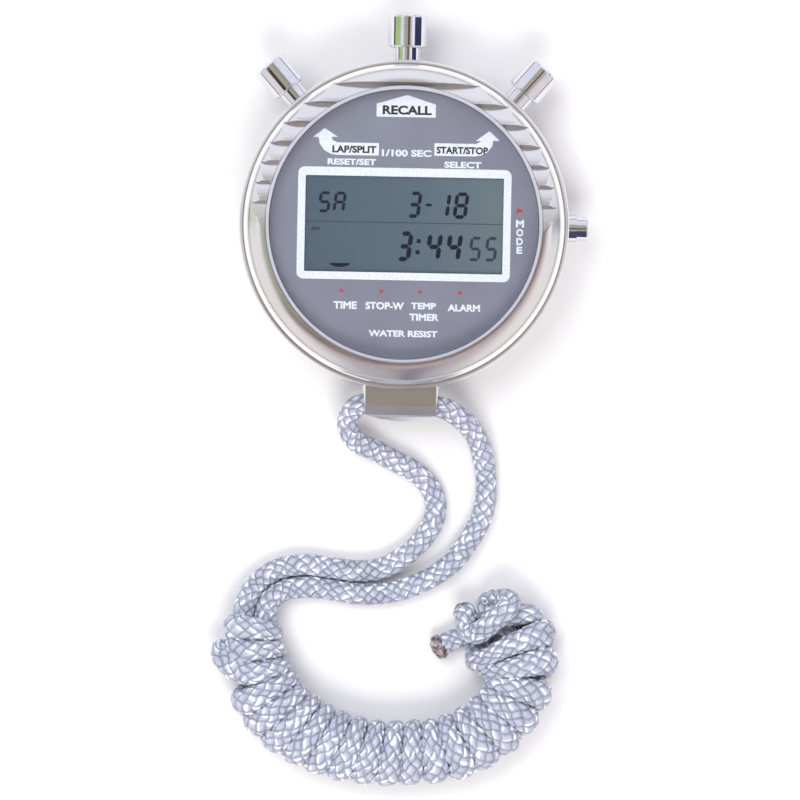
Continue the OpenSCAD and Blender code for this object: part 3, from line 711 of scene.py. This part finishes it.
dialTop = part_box("dial_plate")[1][2] / mm
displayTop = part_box("lcd_cell")[1][2] / mm
ink = {"rise": 0.03, "bold": 0.04}
dialPrint = {
    "border": {"outer": (-21.3, -11.1, 21.3, 11.3), "inner": (-19.8, -9.6, 19.8, 9.6), "corner": 1.3},
    "recall": [(-5.9, 21.5), (5.9, 21.5), (5.9, 24.1), (0.2, 25.9), (-5.9, 24.1)],
    "leftArrow": [
        (-5.3, 13.7), (-5.3, 16.2), (-13.6, 16.2), (-14.5, 16.6), (-14.8, 17.3), (-13.5, 17.3),
        (-16.2, 19.0), (-18.5, 17.2), (-17.4, 17.2), (-17.1, 15.8), (-16.2, 14.6), (-14.9, 13.9),
        (-13.6, 13.7),
    ],
    "rightArrow": [
        (5.8, 13.9), (13.8, 13.9), (15.1, 14.1), (16.4, 14.8), (17.3, 16.0), (17.5, 17.1), (18.8, 17.1),
        (16.7, 19.0), (14.0, 17.0), (15.0, 17.0), (14.7, 16.7), (14.0, 16.4), (5.8, 16.4),
    ],
    "triangle": [(22.4, 2.6), (23.8, 3.2), (22.4, 3.8)],
    "dots": {"x": (-12.2, -4.3, 3.5, 11.5), "y": -13.4, "size": 0.75},
    # text, left, low, right, high
    "white": (
        ("RESET/SET", -15.5, 11.75, -5.8, 13.0), ("SELECT", 7.8, 11.5, 15.2, 12.8),
        ("1/100 SEC", -4.7, 13.6, 5.2, 15.0), ("TIME", -13.8, -17.0, -9.1, -15.5),
        ("STOP-W", -7.4, -17.0, 0.3, -15.5), ("TEMP", 1.7, -16.8, 6.7, -15.5),
        ("TIMER", 1.4, -19.1, 7.3, -17.7), ("ALARM", 9.0, -17.1, 15.5, -15.7),
        ("WATER RESIST", -6.7, -22.4, 7.1, -21.1),
        ("M", 22.35, -0.1, 23.95, 1.4), ("O", 22.45, -1.9, 23.85, -0.4), ("D", 22.5, -3.65, 23.8, -2.2),
        ("E", 22.55, -5.35, 23.7, -3.95),
    ),
    "black": (
        ("RECALL", -4.7, 21.95, 5.1, 23.8), ("LAP/SPLIT", -14.6, 14.15, -5.8, 15.6),
        ("START/STOP", 6.2, 14.3, 16.5, 15.75),
    ),
}
digits = {
    "lean": math.tan(math.radians(7)), "rise": 0.02,
    # which bars are lit, by the letters that watchmakers give them
    "bars": {"1": "bc", "3": "abcdg", "4": "bcfg", "5": "acdfg", "8": "abcdefg", "A": "abcefg", "-": "g"},
    # character, left, low, right, high, bar width
    "dark": (
        ("5", -17.4, 2.2, -15.0, 6.4, 0.6), ("A", -14.4, 2.2, -12.0, 6.4, 0.6),
        ("3", 0.4, 1.4, 3.0, 6.7, 0.75),
        ("-", 3.5, 1.4, 5.6, 6.7, 0.55), ("1", 6.3, 1.4, 8.8, 6.7, 0.75), ("8", 9.6, 1.4, 12.4, 6.7, 0.75),
        ("3", -1.6, -7.3, 1.3, -1.3, 0.92), ("4", 4.2, -7.3, 7.2, -1.3, 0.92),
        ("4", 8.2, -7.3, 11.2, -1.3, 0.92),
    ),
    "pale": (("5", 12.8, -7.0, 15.2, -2.1, 0.6), ("5", 16.0, -7.0, 18.4, -2.1, 0.6)),
    "colon": ((3.0, -3.2), (2.8, -5.4)), "colonSize": 0.4,
    "line": (-19.6, 0.35, 19.6, 0.47),
    "pointer": [
        (-14.8, -7.85), (-10.6, -7.85), (-10.9, -8.3), (-11.8, -8.6), (-12.7, -8.7), (-13.6, -8.6),
        (-14.5, -8.3),
    ],
}


def roundedOutline(left, low, right, high, corner, steps=5):
    points = []
    for x, y, start in ((right, high, 0), (left, high, 90), (left, low, 180), (right, low, 270)):
        cx, cy = (x - corner if x == right else x + corner), (y - corner if y == high else y + corner)
        for k in range(steps + 1):
            angle = math.radians(start + 90 * k / steps)
            points.append((cx + corner * math.cos(angle), cy + corner * math.sin(angle)))
    return points


# A flat frame between two outlines with as many points each
def frameBetween(outer, inner, low, high):
    rings = []
    for points in (outer, inner):
        deselect()
        bpy.ops.mesh.primitive_circle_add(vertices=len(points), radius=mm, fill_type="NOTHING")
        ring = bpy.context.object
        for vertex, (x, y) in zip(ring.data.vertices, points):
            vertex.co = (x * mm, y * mm, low * mm)
        rings.append(ring)
    made = joined("frame", rings)
    bpy.ops.object.mode_set(mode="EDIT")
    bpy.ops.mesh.select_all(action="SELECT")
    bpy.ops.mesh.bridge_edge_loops()
    bpy.ops.mesh.select_all(action="SELECT")
    bpy.ops.mesh.extrude_region_move(TRANSFORM_OT_translate={"value": (0, 0, (high - low) * mm)})
    bpy.ops.mesh.select_all(action="SELECT")
    bpy.ops.mesh.normals_make_consistent(inside=False)
    bpy.ops.object.mode_set(mode="OBJECT")
    return made


# Letters set to fill a box, standing a little proud of the face they are printed on
def lettering(text, left, low, right, high, level):
    deselect()
    bpy.ops.object.text_add()
    letters = bpy.context.object
    letters.data.body = text
    letters.data.size = 1
    letters.data.bevel_depth = ink["bold"]
    letters.data.bevel_resolution = 1
    letters.data.extrude = 0.01
    letters.data.resolution_u = 3
    bpy.ops.object.convert(target="MESH")
    letters = bpy.context.object
    bpy.ops.object.mode_set(mode="EDIT")
    bpy.ops.mesh.select_all(action="SELECT")
    bpy.ops.mesh.remove_doubles(threshold=1e-5)
    bpy.ops.mesh.normals_make_consistent(inside=False)
    bpy.ops.object.mode_set(mode="OBJECT")
    corners = np.array([tuple(v.co) for v in letters.data.vertices])
    start, end = corners.min(axis=0), corners.max(axis=0)
    size = (right - left, high - low, ink["rise"])
    for vertex in letters.data.vertices:
        share = (np.array(vertex.co) - start) / (end - start)
        vertex.co = [(at + s * length) * mm for at, s, length in zip((left, low, level), share, size)]
    return letters


def printed(name, pieces, material, slotName="dial_grey"):
    made = joined(name, pieces)
    place(made)
    return finished(made, material, slotName)


def inkFinish(name, colour, shine=0.5, gloss=0.5):
    made = newMaterial(name, colour, 0.0, shine, Specular_IOR_Level=gloss)
    patchy = noise(made, 0.5, 4.0)
    feed(made, Base_Color=ramp(made, patchy, [(0.3, tuple(0.86 * c for c in colour)), (0.6, colour)]),
         Roughness=spread(made, patchy, shine - 0.1, shine + 0.1), Normal=bump(made, patchy, 0.008, 0.4))
    return made


whiteInk = inkFinish("whiteInk", (0.9, 0.92, 1.0))
blackInk = inkFinish("blackInk", (0.02, 0.02, 0.03))
redInk = inkFinish("redInk", (0.55, 0.06, 0.04))
darkCrystal = inkFinish("darkSegments", (0.004, 0.009, 0.028), 0.35, 0.1)
paleCrystal = inkFinish("paleSegments", (0.03, 0.045, 0.07), 0.35, 0.2)

low, high = dialTop - 0.01, dialTop + ink["rise"]
border = dialPrint["border"]
printed("displayBorder", [frameBetween(
    roundedOutline(*border["outer"], border["corner"]), roundedOutline(*border["inner"], 0.15), low, high,
)], whiteInk)
printed("recallTag", [cutFrom(dialPrint["recall"], low, high)], whiteInk)
printed("arrows", [cutFrom(dialPrint[name], low, high) for name in ("leftArrow", "rightArrow")], whiteInk)
printed("whiteLettering", [lettering(*row, dialTop) for row in dialPrint["white"]], whiteInk)
printed("blackLettering", [lettering(*row, high) for row in dialPrint["black"]], blackInk)
dots = dialPrint["dots"]
half = dots["size"] / 2
marks = [
    cutFrom(roundedOutline(x - half, dots["y"] - half, x + half, dots["y"] + half, half - 0.02), low, high)
    for x in dots["x"]
]
printed("redMarks", marks + [cutFrom(dialPrint["triangle"], low, high)], redInk)


# One lit bar with pointed ends, lying along x about the centre
def litBar(length, thick):
    h, t = length / 2, thick / 2
    return cutFrom([(-h, 0), (-h + t, -t), (h - t, -t), (h, 0), (h - t, t), (-h + t, t)],
                   displayTop - 0.01, displayTop + digits["rise"])


def digit(character, left, low, right, high, thick):
    wide, tall = right - left - thick, (high - low - thick) / 2
    flatBar, upBar = litBar(wide * 0.94, thick), litBar(tall * 0.94, thick)
    x0, x1, y0 = left + thick / 2, right - thick / 2, low + thick / 2
    spots = {
        "a": (0.5, 2), "g": (0.5, 1), "d": (0.5, 0), "f": (0, 1.5), "b": (1, 1.5), "e": (0, 0.5),
        "c": (1, 0.5),
    }
    pieces = []
    for letter in digits["bars"][character]:
        across, rise = spots[letter]
        upright = letter not in "agd"
        bar = (upBar if upright else flatBar).copy()
        bar.data = bar.data.copy()
        bpy.context.scene.collection.objects.link(bar)
        for vertex in bar.data.vertices:
            x, y = vertex.co.x / mm, vertex.co.y / mm
            x, y = (-y, x) if upright else (x, y)
            x, y = x0 + across * (x1 - x0) + x, y0 + rise * tall + y
            vertex.co.x, vertex.co.y = (x + (y - low) * digits["lean"]) * mm, y * mm
        pieces.append(bar)
    for master in (flatBar, upBar):
        bpy.data.objects.remove(master)
    return pieces


displayLow, displayHigh = displayTop - 0.01, displayTop + digits["rise"]
lit = [bar for row in digits["dark"] for bar in digit(*row)]
half = digits["colonSize"]
lit += [
    cutFrom(roundedOutline(x - half, y - half, x + half, y + half, 0.12), displayLow, displayHigh)
    for x, y in digits["colon"]
]
lit.append(cutFrom(digits["pointer"][::-1], displayLow, displayHigh))
printed("darkDigits", lit, darkCrystal, "lcd_glass")
left, low, right, high = digits["line"]
faint = [bar for row in digits["pale"] for bar in digit(*row)]
faint.append(cutFrom([(left, low), (right, low), (right, high), (left, high)], displayLow, displayHigh))
faint.append(lettering("AM", -18.7, -1.5, -16.9, -0.6, displayTop - 0.01))
printed("paleDigits", faint, paleCrystal, "lcd_glass")


print("stage 5: springs")

# The return springs: a round wire wound by the Screw modifier, set on each button's axis
springs = {
    "plunger": {
        "mean": 2.08, "wire": 0.24, "start": 37.5, "end": 41.1, "turns": 4, "anchor": 37.2, "keep": 0.667,
    },
    "mode": {
        "mean": 1.8, "wire": 0.2, "start": 30.45, "end": 32.95, "turns": 3, "anchor": 30.2, "keep": 0.7,
    },
    "height": 9.5,
    "buttons": (
        ("recall", 90, "plunger"), ("start_stop", 49, "plunger"), ("lap_reset", 131, "plunger"),
        ("mode", 0, "mode"),
    ),
}


def coilSpring(name, joint, bearing, size):
    deselect()
    bpy.ops.mesh.primitive_circle_add(vertices=10, radius=size["wire"] / 2 * mm, fill_type="NOTHING",
                                      location=(size["mean"] * mm, 0, 0), rotation=(math.radians(90), 0, 0))
    coil = bpy.context.object
    bpy.ops.object.transform_apply(location=True, rotation=True, scale=True)
    screw = coil.modifiers.new("wound", "SCREW")
    screw.axis = "Z"
    screw.screw_offset = (size["end"] - size["start"]) / size["turns"] * mm
    screw.iterations = size["turns"]
    screw.steps = screw.render_steps = 32
    bpy.ops.object.modifier_apply(modifier="wound")
    bpy.ops.object.mode_set(mode="EDIT")
    bpy.ops.mesh.select_all(action="SELECT")
    bpy.ops.mesh.remove_doubles(threshold=1e-6)
    bpy.ops.mesh.select_all(action="DESELECT")
    bpy.ops.mesh.select_non_manifold()
    bpy.ops.mesh.fill_holes(sides=10)
    bpy.ops.mesh.select_all(action="SELECT")
    bpy.ops.mesh.normals_make_consistent(inside=False)
    bpy.ops.object.mode_set(mode="OBJECT")
    angle = math.radians(bearing)
    outward = Vector((math.cos(angle), math.sin(angle), 0))
    turned = outward.to_track_quat("Z", "Y").to_matrix().to_4x4()
    up = Vector((0, 0, springs["height"]))
    place(coil, Matrix.Translation((outward * size["start"] + up) * mm) @ turned)
    coil.name = name
    finished(coil, springSteel, "spring_steel", "case", f"{joint}_spring", angle=60)
    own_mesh(coil)


for joint, bearing, kind in springs["buttons"]:
    coilSpring(joint.title().replace("_", "") + "Coil", joint, bearing, springs[kind])


print("stage 6: studio")

# Floor, light and the soft room that the metal mirrors
studio = {"floor": 1.6, "floorTone": 0.87, "mottle": 0.01, "room": 0.95}
deselect()
bpy.ops.mesh.primitive_grid_add(
    x_subdivisions=8, y_subdivisions=8, size=studio["floor"], location=(0, -0.035, 0)
)
floor = bpy.context.object
floor.name = "floor"
paper = newMaterial("palePaper", (studio["floorTone"],) * 3, 0.0, 0.9)
feed(paper, Base_Color=ramp(paper, noise(paper, 40.0), [
    (0.3, (studio["floorTone"] - studio["mottle"],) * 3),
    (0.7, (studio["floorTone"] + studio["mottle"],) * 3),
]))
floor.data.materials.append(paper)


def softLight(name, where, target, width, height, power, colour):
    bpy.ops.object.light_add(type="AREA", location=where)
    lamp = bpy.context.object
    lamp.name = name
    lamp.rotation_euler = (Vector(target) - Vector(where)).to_track_quat("-Z", "Y").to_euler()
    lamp.data.shape = "RECTANGLE"
    lamp.data.size, lamp.data.size_y = width, height
    lamp.data.energy = power
    lamp.data.color = colour
    lamp.visible_glossy = False


middle = (0, -0.03, 0)
softLight("keyLight", (0.05, -0.68, 0.9), middle, 0.6, 0.45, 6.2, (1.0, 0.99, 0.97))
softLight("fillLight", (-0.35, 0.3, 1.0), middle, 0.7, 0.6, 4.8, (0.97, 0.98, 1.0))

# The room is a white tent, with the dark slots and tinted patches that polished metal picks up
world = bpy.data.worlds.new("softRoom")
world.use_nodes = True
bpy.context.scene.world = world


def edge(value, start, end):
    return addNode(world, "ShaderNodeMapRange", {"Value": value, "From Min": start, "From Max": end},
                   interpolation_type="SMOOTHSTEP").outputs[0]


def over(under, colour, *amounts):
    amount = amounts[0]
    for other in amounts[1:]:
        amount = maths(world, "MULTIPLY", amount, other)
    made = addNode(world, "ShaderNodeMix", data_type="RGBA")
    for socket, value in ((0, amount), (6, under), (7, colour)):
        if isinstance(value, bpy.types.NodeSocket):
            world.node_tree.links.new(value, made.inputs[socket])
        else:
            made.inputs[socket].default_value = (*value, 1)
    return made.outputs[2]


def between(value, low, high, soft=0.05):
    rising, falling = edge(value, low - soft, low + soft), edge(value, high + soft, high - soft)
    return maths(world, "MULTIPLY", rising, falling)


direction = addNode(world, "ShaderNodeTexCoord").outputs["Generated"]
east, north, up = addNode(world, "ShaderNodeSeparateXYZ", {0: direction}).outputs
slot = between(north, 0.01, 0.1, 0.015)
west = edge(east, 0.0, -0.1)
front = edge(north, 0.0, -0.2)
room = over((0.92, 0.87, 0.87), (0.92, 0.93, 1.04), edge(north, -0.3, 0.2))
room = over(room, (0.27, 0.27, 0.28), between(up, 0.0, 0.12, 0.04))  # the horizon
room = over(room, (0.5, 0.46, 0.49), between(east, -0.35, 0.35, 0.2), front)
room = over(room, (0.45, 0.43, 0.42), between(east, -0.28, 0.28, 0.1), edge(north, 0.05, 0.2),
            edge(up, 0.74, 0.95))
room = over(room, (0.07, 0.08, 0.15), between(east, 0.0, 0.1, 0.02), front, edge(up, -0.1, 0.05))
room = over(room, (0.1, 0.14, 0.07), slot, west, between(up, -0.08, 0.22))
room = over(room, (0.5, 0.68, 0.27), slot, west, between(up, 0.24, 0.74))
room = over(room, (0.04, 0.05, 0.11), slot, edge(east, 0.0, 0.1), between(up, -0.12, 0.72, 0.03))
room = over(room, (1.1, 1.1, 1.15), slot, edge(east, 0.2, 0.3), between(up, 0.76, 0.86, 0.02))
# overhead it is sage, then a dark beam, then rose
slant = maths(world, "MULTIPLY", maths(world, "SUBTRACT", east, north), 0.7)
slope = maths(world, "MULTIPLY", maths(world, "ADD", east, north), 0.7)
overhead = over((0.46, 0.49, 0.37), (0.13, 0.07, 0.06), edge(slant, -0.05, 0.02))
overhead = over(overhead, (0.62, 0.5, 0.5), edge(slant, 0.07, 0.2))
room = over(room, overhead, edge(up, 0.87, 0.97))
room = over(room, (0.1, 0.05, 0.045), between(slant, -0.1, 0.0, 0.015), between(slope, -0.6, -0.26, 0.03))
world.node_tree.links.new(room, world.node_tree.nodes["Background"].inputs["Color"])
world.node_tree.nodes["Background"].inputs["Strength"].default_value = studio["room"]
bpy.context.scene.view_settings.view_transform = "Standard"
